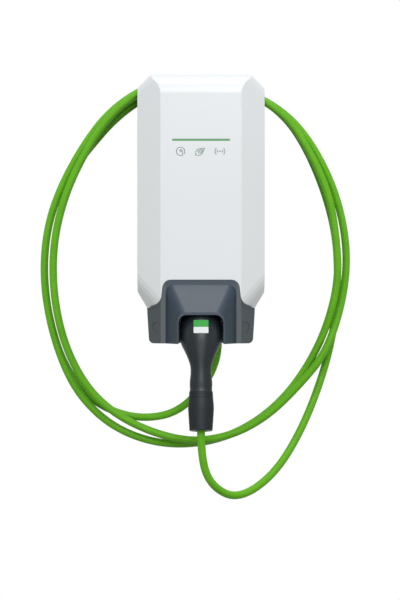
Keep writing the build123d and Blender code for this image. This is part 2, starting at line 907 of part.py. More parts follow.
# Saddle clamp that holds the cable's tail against the housing's back wall
clamp_z = housing_bottom + 20.0
clamp_height = 12.0
clamp_half = 17.0
clamp_screw_reach = 12.5
clamp_screws_at = [(gland_x - clamp_screw_reach, clamp_z), (gland_x + clamp_screw_reach, clamp_z)]
clamp_corner = 3.0
clamp_gap = 0.5
clamp_split = clamp_gap - gland_y
clamp_front = clamp_split + 9.5
clamp_screw_length = 16.0
clamp_screw_bite = clamp_screw_length - (clamp_front - clamp_split) + overlap
with BuildPart() as cable_clamp:
    with BuildSketch(Plane.XY.offset(clamp_z - clamp_height / 2)):
        with Locations((gland_x, -clamp_split)):
            RectangleRounded(2 * clamp_half, 2 * (clamp_front - clamp_split), clamp_corner)
        with Locations((gland_x, gland_y)):
            Circle(gland_bore, mode=Mode.SUBTRACT)
        with Locations((gland_x, clamp_front - clamp_split - clamp_split - clamp_gap)):
            Rectangle(3 * clamp_half, 2 * (clamp_front - clamp_split), mode=Mode.SUBTRACT)
    extrude(amount=clamp_height)
    with BuildSketch(Plane.XZ):
        with Locations(clamp_screws_at):
            Circle(lid_shank + screw_clearance)
    extrude(amount=flange_front, mode=Mode.SUBTRACT)
finish(cable_clamp.part, "cable_clamp")

with BuildPart() as clamp_seat:
    with BuildSketch(Plane.XY.offset(clamp_z - clamp_height / 2)):
        with Locations((gland_x, -(housing_wall + clamp_split) / 2)):
            Rectangle(2 * clamp_half, clamp_split - housing_wall)
        with Locations((gland_x, gland_y)):
            Circle(gland_bore, mode=Mode.SUBTRACT)
    extrude(amount=clamp_height)
    with BuildSketch(Plane.XZ.offset(clamp_split)):
        with Locations(clamp_screws_at):
            Circle(lid_shank + screw_bite)
    extrude(amount=-clamp_screw_bite, mode=Mode.SUBTRACT)
finish(clamp_seat.part, "clamp_seat")
screws = screw_group(
    clamp_screws_at, clamp_front, lid_shank, lid_head, lid_head_height, clamp_screw_length
)
finish(screws, "clamp_screws")


# Connector holder: faceted body, hood, hollow for the electronics and pocket for the head
pocket_half = mouth_half
cup_end = nose_tip + cup_end_gap + cup_floor
roof = head_centre + nose_axis * cup_end
roof_fall = tan(radians(head_tilt))
pocket_front = hood_back + overlap


def roof_z(y):
    """Height of the pocket's sloping end wall at Y."""
    return roof.Z - (y - roof.Y) * roof_fall


with BuildPart() as boss_columns:
    with BuildSketch(Plane.XZ.offset(flange_front)):
        with Locations(holder_screws_at):
            Circle(cap_radius + cover_fit)
    extrude(amount=cover_front - flange_front)
    add(holder_form(0), mode=Mode.INTERSECT)

facet_tilt = degrees(atan2(cover_width - face_width, 2 * facet_depth))
facet_out = holder_step / sin(radians(facet_tilt))
facet_y = -cover_front + (screw_x - face_width / 2) / facet_ratio + facet_out
cap_planes = [
    Plane(
        origin=(side * screw_x, facet_y, screw_z),
        x_dir=(0, 0, 1),
        z_dir=(side * cos(radians(facet_tilt)), -sin(radians(facet_tilt)), 0),
    )
    for side in (-1, 1)
]
seat_y = 58.0
holder_screw_length = seat_y - flange_front + 6.0

with BuildPart() as wing_grooves:
    with BuildSketch(Plane.XZ.offset(flange_front)):
        add(holder_outline(-wing_strip))
        add(holder_outline(-wing_strip - wing_groove), mode=Mode.SUBTRACT)
        Rectangle(2 * block_foot_half, -4 * holder_bottom, mode=Mode.SUBTRACT)
    extrude(amount=cover_front - flange_front)
    add(holder_form(wing_groove_depth), mode=Mode.SUBTRACT)

with BuildPart() as hood:
    add(hood_form(0, hood_front))
    mouth_edges = hood.edges().filter_by(
        lambda e: e.center().Y < -hood_front + near and e.center().Z > holder_bottom + near
    )
    fillet(mouth_edges, lip_edge)

with BuildPart() as connector_holder:
    add(holder_form(0))
    add(hood.part)
    add(holder_form(holder_wall), mode=Mode.SUBTRACT)
    add(hood_form(holder_wall, hood_front + overlap), mode=Mode.SUBTRACT)
    add(
        side_profile(
            [
                (-flange_front - 2 * pocket_wall, holder_bottom),
                (-flange_front - 2 * pocket_wall, roof_z(-pocket_back) + pocket_wall),
                (-pocket_back - overlap, roof_z(-pocket_back) + pocket_wall),
                (-hood_back, roof_z(-hood_back) + 1.5 * pocket_wall),
                (-hood_back, holder_bottom),
            ],
            pocket_half + pocket_wall,
        )
    )
    add(
        side_profile(
            [
                (-pocket_back, holder_bottom - overlap),
                (-pocket_back, roof_z(-pocket_back)),
                (-pocket_front, roof_z(-pocket_front)),
                (-pocket_front, holder_bottom - overlap),
            ],
            pocket_half,
        ),
        mode=Mode.SUBTRACT,
    )
    add(boss_columns.part)
    add(wing_grooves.part, mode=Mode.SUBTRACT)
    with BuildSketch(Plane.XZ.offset(flange_front)):
        add(housing_outline(-lid_grow - holder_gap))
    extrude(amount=gasket_thickness + lid_thickness + holder_gap, mode=Mode.SUBTRACT)
    with BuildSketch(Plane.XZ.offset(flange_front)):
        with Locations(lugs_at):
            Rectangle(lug_outer - lug_inner + 2 * holder_gap, lug_top - lug_foot + 2 * holder_gap)
    extrude(amount=lug_thickness + holder_gap, mode=Mode.SUBTRACT)
    for plane in cap_planes:
        with BuildSketch(plane):
            Circle(cap_radius + cover_fit / 2)
        extrude(amount=-cap_thickness - cap_recess, mode=Mode.SUBTRACT)
    with BuildSketch(Plane.XZ.offset(seat_y)):
        with Locations(holder_screws_at):
            Circle(m5_head_radius + cover_fit)
    extrude(amount=cover_front, mode=Mode.SUBTRACT)
    with BuildSketch(Plane.XZ.offset(flange_front)):
        with Locations(holder_screws_at):
            Circle(m5_hole)
    extrude(amount=seat_y - flange_front, mode=Mode.SUBTRACT)
finish(connector_holder.part, "connector_holder")

with BuildPart() as holder_screw_caps:
    for plane in cap_planes:
        with BuildSketch(plane.offset(-cap_thickness - cap_recess)):
            Circle(cap_radius)
        extrude(amount=cap_thickness)
finish(holder_screw_caps.part, "holder_screw_caps")
screws = screw_group(
    holder_screws_at, seat_y, m5_shank, m5_head_radius, m5_head_height, holder_screw_length
)
finish(screws, "holder_screws")
screws = screw_group(
    cover_screws_at,
    flange_front + lug_thickness,
    m4_shank,
    m4_head_radius,
    m4_head_height,
    m4_length,
)
finish(screws, "cover_screws")

# Parking cup for the connector's nose, seated on the pocket's sloping end wall
cup_bore = nose_radius + cup_fit
cup_radius = cup_bore + cup_wall
with BuildPart() as parking_cup:
    with BuildSketch(across_nose(cup_mouth)):
        Circle(cup_radius)
    extrude(amount=cup_end - cup_mouth)
    with BuildSketch(across_nose(cup_mouth)):
        Circle(cup_radius + cup_flange)
    extrude(amount=cup_wall)
    with BuildSketch(across_nose(cup_mouth)):
        Circle(cup_bore)
    extrude(amount=cup_end - cup_floor - cup_mouth, mode=Mode.SUBTRACT)
    chamfer(parking_cup.faces().filter_by(GeomType.CYLINDER).edges().sort_by(Axis.Z)[0], cup_edge)
finish(parking_cup.part, "parking_cup")


# Connector shell: round nose, oval head and slim grip in one smooth moulding
grip_top = 111.0
shell_foot = 58.0


def bend_point(share):
    """Point and tilt on the curved stretch between head and grip, from 0 at the head to 1."""
    start = head_centre
    end = cable_end_point + grip_axis * grip_top
    meet_reach = (start.Y - cable_end[1]) * cos(radians(grip_tilt)) - (start.Z - cable_end[2]) * sin(
        radians(grip_tilt)
    )
    meet = start - nose_axis * (meet_reach / sin(radians(head_tilt - grip_tilt)))
    point = start * (1 - share) ** 2 + meet * (2 * share * (1 - share)) + end * share**2
    tilt = head_tilt + (grip_tilt - head_tilt) * share
    return point, tilt


def tilted_plane(point, tilt):
    """Plane through a point on the connector's spine, square to the spine."""
    return Plane(origin=point, x_dir=(1, 0, 0), z_dir=(0, sin(radians(tilt)), cos(radians(tilt))))


# Half width, half depth and depth of the valleys along the shell's spine, from the nose down
head_sections = [(24.0, 31.8, 31.5, 0.2), (10.0, 33.0, 33.0, 0.8)]
bend_sections = [(0.0, 33.6, 33.6, 1.2), (0.3, 32.6, 32.6, 1.5), (0.62, 27.4, 28.5, 1.4)]
grip_sections = [
    (111.0, 20.6, 23.2, 1.2),
    (99.0, 17.0, 20.2, 1.0),
    (82.0, 17.0, 19.2, 0.8),
    (68.0, 17.8, 18.8, 0.4),
    (58.0, 18.7, 18.7, 0.0),
]
section_points = 32
valley_base = 9.0
valley_share = 0.24
valley_width = 4.5


def shell_section(half_width, half_depth, valley):
    """Oval section whose outer side has a raised strip between two shallow valleys."""
    valley_x = valley_base + valley_share * half_width
    points = []
    for i in range(section_points):
        angle = 2 * pi * i / section_points
        x = half_width * cos(angle)
        y = half_depth * sin(angle)
        if y < 0:
            y += valley * exp(-(((abs(x) - valley_x) / valley_width) ** 2))
        points.append((x, y))
    Spline(*points, periodic=True)


label_width = 23.4
label_height = 23.0
label_thickness = 1.4
label_corner = 1.3
label_fit = 0.2
label_reach = 34.5
label_bearing = 23.8
label_tilt = 28.0
label_ray = Vector(0, -cos(radians(label_bearing)), sin(radians(label_bearing)))
label_out = Vector(0, -cos(radians(label_tilt)), sin(radians(label_tilt)))
label_plane = Plane(
    origin=head_centre + label_ray * label_reach - label_out * label_thickness,
    x_dir=(1, 0, 0),
    z_dir=label_out,
)

with BuildPart() as connector_shell:
    for reach, width, depth, valley in head_sections:
        with BuildSketch(across_nose(reach)):
            with BuildLine():
                shell_section(width, depth, valley)
            make_face()
    for share, width, depth, valley in bend_sections:
        with BuildSketch(tilted_plane(*bend_point(share))):
            with BuildLine():
                shell_section(width, depth, valley)
            make_face()
    for reach, width, depth, valley in grip_sections:
        with BuildSketch(across_grip(reach)):
            with BuildLine():
                shell_section(width, depth, valley)
            make_face()
    loft()
    with BuildSketch(across_nose(head_sections[0][0])):
        Circle(nose_radius)
    extrude(amount=nose_tip - head_sections[0][0])
    with BuildSketch(across_nose(nose_tip)):
        Circle(nose_radius - nose_wall)
    extrude(amount=head_sections[0][0] - nose_tip, mode=Mode.SUBTRACT)
    with BuildSketch(label_plane):
        RectangleRounded(label_width + 2 * label_fit, label_height + 2 * label_fit, label_corner)
    extrude(amount=2 * label_thickness, mode=Mode.SUBTRACT)
finish(connector_shell.part, "connector_shell")

# Blank plate set into the head's outer side
with BuildPart() as connector_label:
    with BuildSketch(label_plane):
        RectangleRounded(label_width, label_height, label_corner)
    extrude(amount=label_thickness)
finish(connector_label.part, "connector_label")


# Rubber sleeve below the grip, turned, with grooves and a recess round the cable
sleeve_top = shell_foot
sleeve_foot = -3.0
sleeve_foot_radius = 18.2
sleeve_belly = 20.4
sleeve_belly_reach = 31.0
sleeve_shoulder = 20.1
sleeve_shoulder_reach = 38.5
groove_tops = (57.0, 53.4, 48.8)
groove_height = 0.8
groove_depth = 0.7
collar_radius = 19.2
collar_top_radius = 18.7
recess_radius = 9.5
sleeve_edge = 1.0
seal_thickness = 2.0
turning_plane = Plane(origin=cable_end_point, x_dir=(1, 0, 0), z_dir=Vector(1, 0, 0).cross(grip_axis))
with BuildPart() as grip_sleeve:
    with BuildSketch(turning_plane):
        with BuildLine():
            Polyline(
                (recess_radius, seal_thickness),
                (0, seal_thickness),
                (0, sleeve_top),
                (collar_top_radius, sleeve_top),
                (collar_radius, groove_tops[-1] - groove_height),
            )
            ThreePointArc(
                (collar_radius, groove_tops[-1] - groove_height),
                (sleeve_shoulder, sleeve_shoulder_reach),
                (sleeve_belly, sleeve_belly_reach),
            )
            Polyline(
                (sleeve_belly, sleeve_belly_reach),
                (sleeve_foot_radius, sleeve_foot + sleeve_edge),
                (sleeve_foot_radius - sleeve_edge, sleeve_foot),
                (recess_radius, sleeve_foot),
                (recess_radius, seal_thickness),
            )
        make_face()
        for top in groove_tops:
            with Locations((collar_radius, top - groove_height / 2)):
                Rectangle(2 * groove_depth, groove_height, mode=Mode.SUBTRACT)
    revolve(axis=Axis(cable_end_point, grip_axis))
finish(grip_sleeve.part, "grip_sleeve")

with BuildPart() as cable_seal:
    with BuildSketch(across_grip(0)):
        Circle(recess_radius)
    extrude(amount=seal_thickness)
finish(cable_seal.part, "cable_seal")


# Mating face: insert with seven contact towers inside the nose
nose_bore = nose_radius - nose_wall
face_back = 24.0
face_front = 35.0
tower_front = 47.0
tower_wall = 1.6
power_bore = 3.1
signal_bore = 1.7
contact_fit = 0.1
contact_depth = 18.0
contact_inset = 2.0
contact_wall = 0.5
power_places = [(-9.0, 9.5), (9.0, 9.5), (-16.5, -3.0), (0.0, -2.0), (16.5, -3.0)]
signal_places = [(-9.0, -14.0), (9.0, -14.0)]

with BuildPart() as face_insert:
    with BuildSketch(across_nose(face_back)):
        Circle(nose_bore - contact_fit)
    extrude(amount=face_front - face_back)
    with BuildSketch(across_nose(face_back)):
        with Locations(power_places):
            Circle(power_bore + tower_wall)
        with Locations(signal_places):
            Circle(signal_bore + tower_wall)
    extrude(amount=tower_front - face_back)
    with BuildSketch(across_nose(tower_front)):
        with Locations(power_places):
            Circle(power_bore)
        with Locations(signal_places):
            Circle(signal_bore)
    extrude(amount=-contact_depth, mode=Mode.SUBTRACT)
finish(face_insert.part, "face_insert")


def contact_tubes(places, bore):
    """Group of contact sleeves seated in the towers' bores."""
    with BuildPart() as tubes:
        with BuildSketch(across_nose(tower_front - contact_depth)):
            with Locations(places):
                Circle(bore - contact_fit)
        extrude(amount=contact_depth - contact_inset)
        with BuildSketch(across_nose(tower_front - contact_inset)):
            with Locations(places):
                Circle(bore - contact_fit - contact_wall)
        extrude(amount=2 * contact_inset - contact_depth, mode=Mode.SUBTRACT)
    return tubes.part


finish(contact_tubes(power_places, power_bore), "power_contacts")
finish(contact_tubes(signal_places, signal_bore), "signal_contacts")


# Route of the cable's free length, from the gland to the plug: (X, Y, Z) of each point.
# It hangs in three turns over the shelf, behind the cover, and ends in the lower bow.
route = [
    cable_start, cable_below, (6, -27, -275), (-38, -24, -319), (-95, -18, -330),
    (-150, -12, -317), (-193, -10, -288), (-228, -10, -237), (-250, -10, -167), (-260, -10, -93),
    (-254, -10, -16), (-229, -10, 57), (-186, -10, 114), (-135, -10, 172), (-71, -13, 212),
    (0, -24, 213), (69, -24, 211), (133, -24, 177), (177, -24, 130), (215, -24, 58),
    (235, -24, -13), (240, -24, -82), (228, -26, -154), (202, -38, -224), (158, -38, -276),
    (111, -38, -322), (57, -38, -353), (0, -38, -365), (-47, -38, -360), (-98, -38, -343),
    (-145, -38, -317), (-186, -38, -278), (-219, -38, -218), (-238, -38, -147), (-243, -38, -72),
    (-234, -38, -2), (-207, -38, 76), (-153, -38, 166), (-80, -38, 222), (-2, -38, 223),
    (72, -38, 209), (137, -38, 169), (176, -38, 112), (209, -38, 40), (221, -38, -32),
    (225, -37, -100), (207, -33, -177), (174, -24, -246), (128, -24, -305), (72, -24, -346),
    (12, -24, -368), (-56, -24, -372), (-120, -24, -355), (-171, -24, -322), (-213, -24, -271),
    (-244, -24, -190), (-258, -24, -107), (-255, -24, -31), (-237, -24, 36), (-198, -24, 112),
    (-148, -24, 179), (-75, -21, 224), (0, -10, 228), (74, -10, 215), (137, -10, 171),
    (173, -10, 118), (204, -10, 45), (223, -10, -29), (226, -10, -106), (219, -11, -185),
    (199, -16, -263), (163, -48, -348), (117, -88, -416), (59, -125, -451), (17, -153, -428),
    cable_last_bend, cable_end,
]


def bend_radii(points):
    """Largest arc at each point that leaves both its runs a straight middle."""
    places = [Vector(*p) for p in points]
    radii = []
    for before, here, after in zip(places, places[1:], places[2:]):
        turn = (here - before).get_angle(after - here)
        shorter = min((here - before).length, (after - here).length)
        radii.append(0.45 * shorter / tan(radians(turn / 2)))
    return radii


radii = bend_radii(route)
print("tightest bend of the cable:", round(min(radii)), "mm")
with BuildPart() as charging_cable:
    with BuildLine() as centre_line:
        FilletPolyline(*route, radius=radii)
    start = Vector(*route[0])
    with BuildSketch(Plane(origin=start, z_dir=Vector(*route[1]) - start)):
        Circle(cable_radius)
    sweep(path=centre_line.wire())
length = centre_line.wire().length
print("cable length:", round(length), "mm")
finish(charging_cable.part, "charging_cable")
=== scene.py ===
# %% [markdown]
# # Dressing a wall charging box
# The construction arrives as a fixed frame of 45 pieces at their real size and place. This
# lesson gives them their finish: satin white plastic for the faceted cover, dark grained plastic
# for the dock and the connector, and a smooth green jacket for the cable that hangs in three
# turns behind the cover. Everything is in metres, with the wall at Y = 0 and the room at -Y.

import math

import bmesh
import bpy
from mathutils import Matrix, Vector


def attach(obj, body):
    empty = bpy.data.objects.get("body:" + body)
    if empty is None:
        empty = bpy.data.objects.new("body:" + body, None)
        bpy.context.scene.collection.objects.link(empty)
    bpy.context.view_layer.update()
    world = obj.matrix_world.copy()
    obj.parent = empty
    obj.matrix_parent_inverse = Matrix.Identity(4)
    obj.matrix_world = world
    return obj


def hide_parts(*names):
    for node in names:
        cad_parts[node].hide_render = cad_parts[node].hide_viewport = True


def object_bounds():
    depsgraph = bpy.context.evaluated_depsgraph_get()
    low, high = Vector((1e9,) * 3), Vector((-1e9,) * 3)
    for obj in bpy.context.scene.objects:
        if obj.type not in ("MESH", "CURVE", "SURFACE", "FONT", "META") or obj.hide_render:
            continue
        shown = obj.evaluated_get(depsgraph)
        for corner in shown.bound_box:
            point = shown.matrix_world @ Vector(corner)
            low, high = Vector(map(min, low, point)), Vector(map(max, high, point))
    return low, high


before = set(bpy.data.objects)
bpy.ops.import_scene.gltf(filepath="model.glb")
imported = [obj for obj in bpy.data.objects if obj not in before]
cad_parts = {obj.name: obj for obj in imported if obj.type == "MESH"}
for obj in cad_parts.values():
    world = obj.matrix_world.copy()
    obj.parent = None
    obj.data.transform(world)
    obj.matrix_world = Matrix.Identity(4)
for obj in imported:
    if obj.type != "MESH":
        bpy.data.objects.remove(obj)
cad_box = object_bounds()
print("nodes:", len(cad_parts), "CAD box:", [tuple(round(x, 3) for x in c) for c in cad_box])

# %% [markdown]
# ## Camera
# The photograph looks straight at the box from far away, so its lines hardly converge. The
# connector's known size gives 1.6 mm for each pixel at the cover's face. From that scale and a
# distance of 3 m the lens follows, and the camera looks along +Y with no tilt.

# %% Camera
MM = 0.001
PHOTO_HEIGHT = 600
METRES_PER_PIXEL = 1.6 * MM
FACE_Y = -100 * MM
CAMERA_DISTANCE = 3.0
FRAME_CENTRE = (-1.6 * MM, -134.4 * MM)

scene = bpy.context.scene
camera_data = bpy.data.cameras.new("camera")
camera_data.sensor_width = 36.0
camera_data.lens = camera_data.sensor_width * CAMERA_DISTANCE / (PHOTO_HEIGHT * METRES_PER_PIXEL)
camera = bpy.data.objects.new("camera", camera_data)
camera.location = (FRAME_CENTRE[0], FACE_Y - CAMERA_DISTANCE, FRAME_CENTRE[1])
camera.rotation_euler = (math.radians(90), 0, 0)
scene.collection.objects.link(camera)
scene.camera = camera
scene.view_settings.view_transform = "Standard"
print("lens:", round(camera_data.lens, 1), "mm")

# %% [markdown]
# ## The charging cable's line
# The lead is a fixed length of a springy rubbery cable. It comes down out of its gland, runs
# three times over the shelf behind the cover and ends in a lower bow that carries the plug. Its
# weight pulls the turns long, and no two turns lie quite alike, so the route is a list of given
# points. A NURBS line through that polygon is smooth everywhere, which a stiff lead needs.

# %% Cable line
CABLE_DIAMETER = 12.5 * MM
ROUTE_MM = [
    (28, -28, -204), (28, -28, -229), (6, -27, -275), (-38, -24, -319), (-95, -18, -330),
    (-150, -12, -317), (-193, -10, -288), (-228, -10, -237), (-250, -10, -167), (-260, -10, -93),
    (-254, -10, -16), (-229, -10, 57), (-186, -10, 114), (-135, -10, 172), (-71, -13, 212),
    (0, -24, 213), (69, -24, 211), (133, -24, 177), (177, -24, 130), (215, -24, 58),
    (235, -24, -13), (240, -24, -82), (228, -26, -154), (202, -38, -224), (158, -38, -276),
    (111, -38, -322), (57, -38, -353), (0, -38, -365), (-47, -38, -360), (-98, -38, -343),
    (-145, -38, -317), (-186, -38, -278), (-219, -38, -218), (-238, -38, -147), (-243, -38, -72),
    (-234, -38, -2), (-207, -38, 76), (-153, -38, 166), (-80, -38, 222), (-2, -38, 223),
    (72, -38, 209), (137, -38, 169), (176, -38, 112), (209, -38, 40), (221, -38, -32),
    (225, -37, -100), (207, -33, -177), (174, -24, -246), (128, -24, -305), (72, -24, -346),
    (12, -24, -368), (-56, -24, -372), (-120, -24, -355), (-171, -24, -322), (-213, -24, -271),
    (-244, -24, -190), (-258, -24, -107), (-255, -24, -31), (-237, -24, 36), (-198, -24, 112),
    (-148, -24, 179), (-75, -21, 224), (0, -10, 228), (74, -10, 215), (137, -10, 171),
    (173, -10, 118), (204, -10, 45), (223, -10, -29), (226, -10, -106), (219, -11, -185),
    (199, -16, -263), (163, -48, -348), (117, -88, -416), (59, -125, -451), (17, -153, -428),
    (0, -162, -385), (0, -153.5, -337),
]

cable_curve = bpy.data.curves.new("charging_cable_line", "CURVE")
cable_curve.dimensions = "3D"
cable_spline = cable_curve.splines.new("NURBS")
cable_spline.points.add(len(ROUTE_MM) - 1)
for point, place in zip(cable_spline.points, ROUTE_MM):
    point.co = (*[value * MM for value in place], 1.0)
cable_spline.order_u = 3
cable_spline.use_endpoint_u = True
cable_curve.resolution_u = 10
cable_curve.bevel_depth = CABLE_DIAMETER / 2
cable_curve.bevel_resolution = 7
cable_curve.use_fill_caps = True
cable = bpy.data.objects.new("charging_cable_jacket", cable_curve)
scene.collection.objects.link(cable)
print("cable points:", len(ROUTE_MM))

# %% [markdown]
# ## Colours and nodes
# Colours are written as the sRGB values that a screen shows, and one function turns them to the
# linear values that shaders use. A second function adds a node with its settings and links, and a
# third starts an empty material, so that each material below reads as a short recipe.

# %% Helpers


def linear(hex_colour):
    """Linear RGBA of an sRGB hex colour such as #55A52A."""
    shares = [int(hex_colour[i : i + 2], 16) / 255 for i in (1, 3, 5)]
    return (*[s / 12.92 if s <= 0.04045 else ((s + 0.055) / 1.055) ** 2.4 for s in shares], 1.0)


def add_node(tree, kind, inputs=None, **settings):
    """Add a node. Settings go on the node, and inputs on its sockets, as values or as links."""
    node = tree.nodes.new(kind)
    for name, value in settings.items():
        setattr(node, name, value)
    for name, value in (inputs or {}).items():
        if isinstance(value, bpy.types.NodeSocket):
            tree.links.new(value, node.inputs[name])
        else:
            node.inputs[name].default_value = value
    return node


def new_tree(name):
    """A material with an empty node tree, and that tree."""
    material = bpy.data.materials.new(name)
    material.use_nodes = True
    material.node_tree.nodes.clear()
    return material, material.node_tree


print("white is", [round(c, 3) for c in linear("#E9ECEE")])

# %% [markdown]
# ## Moulded plastics
# Most of what shows is injection moulded. A mould's steel is spark eroded, which leaves a grain
# of about a millimetre, and the flow of the melt leaves broad, faint changes of tone and gloss.
# So one recipe serves all of them: a base colour that drifts a little, a roughness that drifts
# with it, and a fine bump. What differs is the colour, the gloss and how coarse the grain is.

# %% Recipe for a moulded plastic


def moulded(
    name, colour, drift, roughness, grain_mm, grain_height_mm, ior, sheen=0.5, outer_painted_reflection=None
):
    """A moulded plastic whose tone drifts from colour towards drift, with a spark-eroded grain.

    The sheen is the level of its reflection, 0.5 for what the index of refraction gives. With
    outer, a colour and a half width, all that lies further from the middle has that colour: a
    painted reflection, paler than the plastic itself.
    """
    material, tree = new_tree(name)
    place = add_node(tree, "ShaderNodeTexCoord").outputs["Object"]
    flow = add_node(
        tree,
        "ShaderNodeTexNoise",
        {"Vector": place, "Scale": 9.0, "Detail": 3.0, "Roughness": 0.5},
    )
    tone = add_node(
        tree,
        "ShaderNodeMix",
        {"Factor": flow.outputs["Fac"], "A": linear(colour), "B": linear(drift)},
        data_type="RGBA",
    )
    # Painted reflection: beyond the half width along X, a paler colour stands in for the bright front
    # that the plastic mirrors there
    if outer_painted_reflection:
        across = add_node(tree, "ShaderNodeSeparateXYZ", {"Vector": place}).outputs["X"]
        width = add_node(tree, "ShaderNodeMath", {0: across}, operation="ABSOLUTE")
        outside = add_node(
            tree,
            "ShaderNodeMath",
            {0: width.outputs["Value"], 1: outer_painted_reflection[1]},
            operation="GREATER_THAN",
        )
        tone = add_node(
            tree,
            "ShaderNodeMix",
            {
                "Factor": outside.outputs["Value"],
                "A": tone.outputs["Result"],
                "B": linear(outer_painted_reflection[0]),
            },
            data_type="RGBA",
        )
    gloss = add_node(
        tree,
        "ShaderNodeMapRange",
        {"Value": flow.outputs["Fac"], "To Min": roughness - 0.04, "To Max": roughness + 0.04},
    )
    grain = add_node(
        tree,
        "ShaderNodeTexNoise",
        {"Vector": place, "Scale": 1 / (grain_mm * MM), "Detail": 2.0, "Roughness": 0.6},
    )
    relief = add_node(
        tree,
        "ShaderNodeBump",
        {"Height": grain.outputs["Fac"], "Distance": grain_height_mm * MM, "Strength": 0.6},
    )
    surface = add_node(
        tree,
        "ShaderNodeBsdfPrincipled",
        {
            "Base Color": tone.outputs["Result"],
            "Roughness": gloss.outputs["Result"],
            "IOR": ior,
            "Specular IOR Level": sheen,
            "Normal": relief.outputs["Normal"],
        },
    )
    add_node(tree, "ShaderNodeOutputMaterial", {"Surface": surface.outputs["BSDF"]})
    return material


print("noise scale for a grain of 1 mm:", round(1 / MM))

# %% [markdown]
# ### The box's own plastics
# Dark plastic in a bright studio takes half its grey from what it mirrors. So the dock and the
# connector have base colours that are darker than they look, and the sheen brings their light
# planes up again, while their sides stay dark. Each line gives the name, the colour and its drift,
# the roughness, the grain's size and height in millimetres, the index of refraction and the sheen.

# %% Plastics
# Weatherproof ASA for the cover: bright, satin, with a grain that only softens its gloss
WHITE_ASA = moulded("white_asa_satin", "#E9ECEE", "#E5E9EB", 0.36, 0.9, 0.012, 1.52)
# The same plastic in a dark blue grey for the dock: coarser grain, a broad soft sheen. Its two
# wings, beside the hood, are painted paler and less blue: a painted reflection of the bright front
HOOD_HALF_WIDTH = 57 * MM
GRAPHITE_ASA = moulded(
    "graphite_asa_grained",
    "#303F4D",
    "#2B3947",
    0.36,
    1.1,
    0.03,
    1.52,
    0.55,
    # Paler colour beyond the hood's half width: painted reflection on the wings
    outer_painted_reflection=("#4C5457", HOOD_HALF_WIDTH),
)
# Glass-filled polyamide for the connector: nearly black, a little duller
BLACK_POLYAMIDE = moulded(
    "black_polyamide_grained", "#21292E", "#1E262A", 0.42, 1.0, 0.03, 1.53, 0.48
)
# Thermoplastic rubber for the sleeve: soft, dull, without a sharp highlight
SOFT_SLEEVE = moulded("soft_sleeve_rubber", "#21282C", "#1D2428", 0.5, 1.4, 0.04, 1.50, 0.35)
# Seals and plugs of EPDM rubber
EPDM = moulded("epdm_rubber", "#232526", "#1D1F20", 0.68, 1.0, 0.02, 1.50, 0.15)
# Glands of polyamide, smooth and slightly glossy
GLAND_NYLON = moulded("black_nylon_gland", "#2A2D2F", "#252829", 0.36, 0.8, 0.01, 1.53, 0.3)
# The housing behind the cover, of grey polycarbonate, and the paler lid over its electronics
HOUSING_GREY = moulded("grey_polycarbonate", "#5A6065", "#555B60", 0.45, 1.0, 0.03, 1.58, 0.3)
LID_GREY = moulded("light_grey_polycarbonate", "#9DA2A6", "#979CA0", 0.42, 1.0, 0.02, 1.58)
# Pieces on the main board: grey and black mouldings on a green lacquered board
PART_GREY = moulded("grey_polyamide", "#8E9291", "#868A89", 0.48, 1.0, 0.02, 1.53)
PART_BLACK = moulded("black_epoxy_moulding", "#242526", "#202122", 0.40, 0.8, 0.01, 1.55)
BOARD_GREEN = moulded("green_solder_mask", "#1F5B38", "#1B5333", 0.25, 1.5, 0.01, 1.50)
print("dock:", GRAPHITE_ASA.name, "connector:", BLACK_POLYAMIDE.name)

# %% [markdown]
# ## The cable's jacket
# The jacket is polyurethane, extruded over five cores. It is smooth, but its surface is rubbed
# and dull in places, so its mirror image stays weak and its green stays full. The rubbed patches
# read their place in the object, because the curve's own map would stretch them along its length.

# %% Recipe for the cable's jacket


def jacket():
    """Extruded green polyurethane: smooth and half dull, with faint rubbed patches."""
    material, tree = new_tree("green_polyurethane_jacket")
    place = add_node(tree, "ShaderNodeTexCoord").outputs["Object"]
    rub = add_node(
        tree, "ShaderNodeTexNoise", {"Vector": place, "Scale": 40.0, "Detail": 3.0, "Roughness": 0.6}
    )
    tone = add_node(
        tree,
        "ShaderNodeMix",
        {"Factor": rub.outputs["Fac"], "A": linear("#6DBE22"), "B": linear("#5CA51A")},
        data_type="RGBA",
    )
    gloss = add_node(
        tree, "ShaderNodeMapRange", {"Value": rub.outputs["Fac"], "To Min": 0.38, "To Max": 0.5}
    )
    relief = add_node(
        tree, "ShaderNodeBump", {"Height": rub.outputs["Fac"], "Distance": 0.02 * MM, "Strength": 0.4}
    )
    surface = add_node(
        tree,
        "ShaderNodeBsdfPrincipled",
        {
            "Base Color": tone.outputs["Result"],
            "Roughness": gloss.outputs["Result"],
            "IOR": 1.49,
            "Specular IOR Level": 0.22,
            "Normal": relief.outputs["Normal"],
        },
    )
    add_node(tree, "ShaderNodeOutputMaterial", {"Surface": surface.outputs["BSDF"]})
    return material


GREEN_JACKET = jacket()
cable_curve.materials.append(GREEN_JACKET)
print("jacket nodes:", len(GREEN_JACKET.node_tree.nodes))

# %% [markdown]
# ## Metals
# Hardly any metal shows. Screws are zinc plated steel with a dull bright skin, the contacts in
# the nose are silver plated, and some electronics sit in aluminium cans. A metal takes all its
# colour from its reflection, so the recipe is a metallic surface whose roughness wanders a little.

# %% Metals


def plated(name, colour, roughness):
    """A plated metal with a slightly uneven shine."""
    material, tree = new_tree(name)
    place = add_node(tree, "ShaderNodeTexCoord").outputs["Object"]
    haze = add_node(tree, "ShaderNodeTexNoise", {"Vector": place, "Scale": 300.0, "Detail": 2.0})
    gloss = add_node(
        tree,
        "ShaderNodeMapRange",
        {"Value": haze.outputs["Fac"], "To Min": roughness - 0.08, "To Max": roughness + 0.08},
    )
    surface = add_node(
        tree,
        "ShaderNodeBsdfPrincipled",
        {"Base Color": linear(colour), "Metallic": 1.0, "Roughness": gloss.outputs["Result"]},
    )
    add_node(tree, "ShaderNodeOutputMaterial", {"Surface": surface.outputs["BSDF"]})
    return material


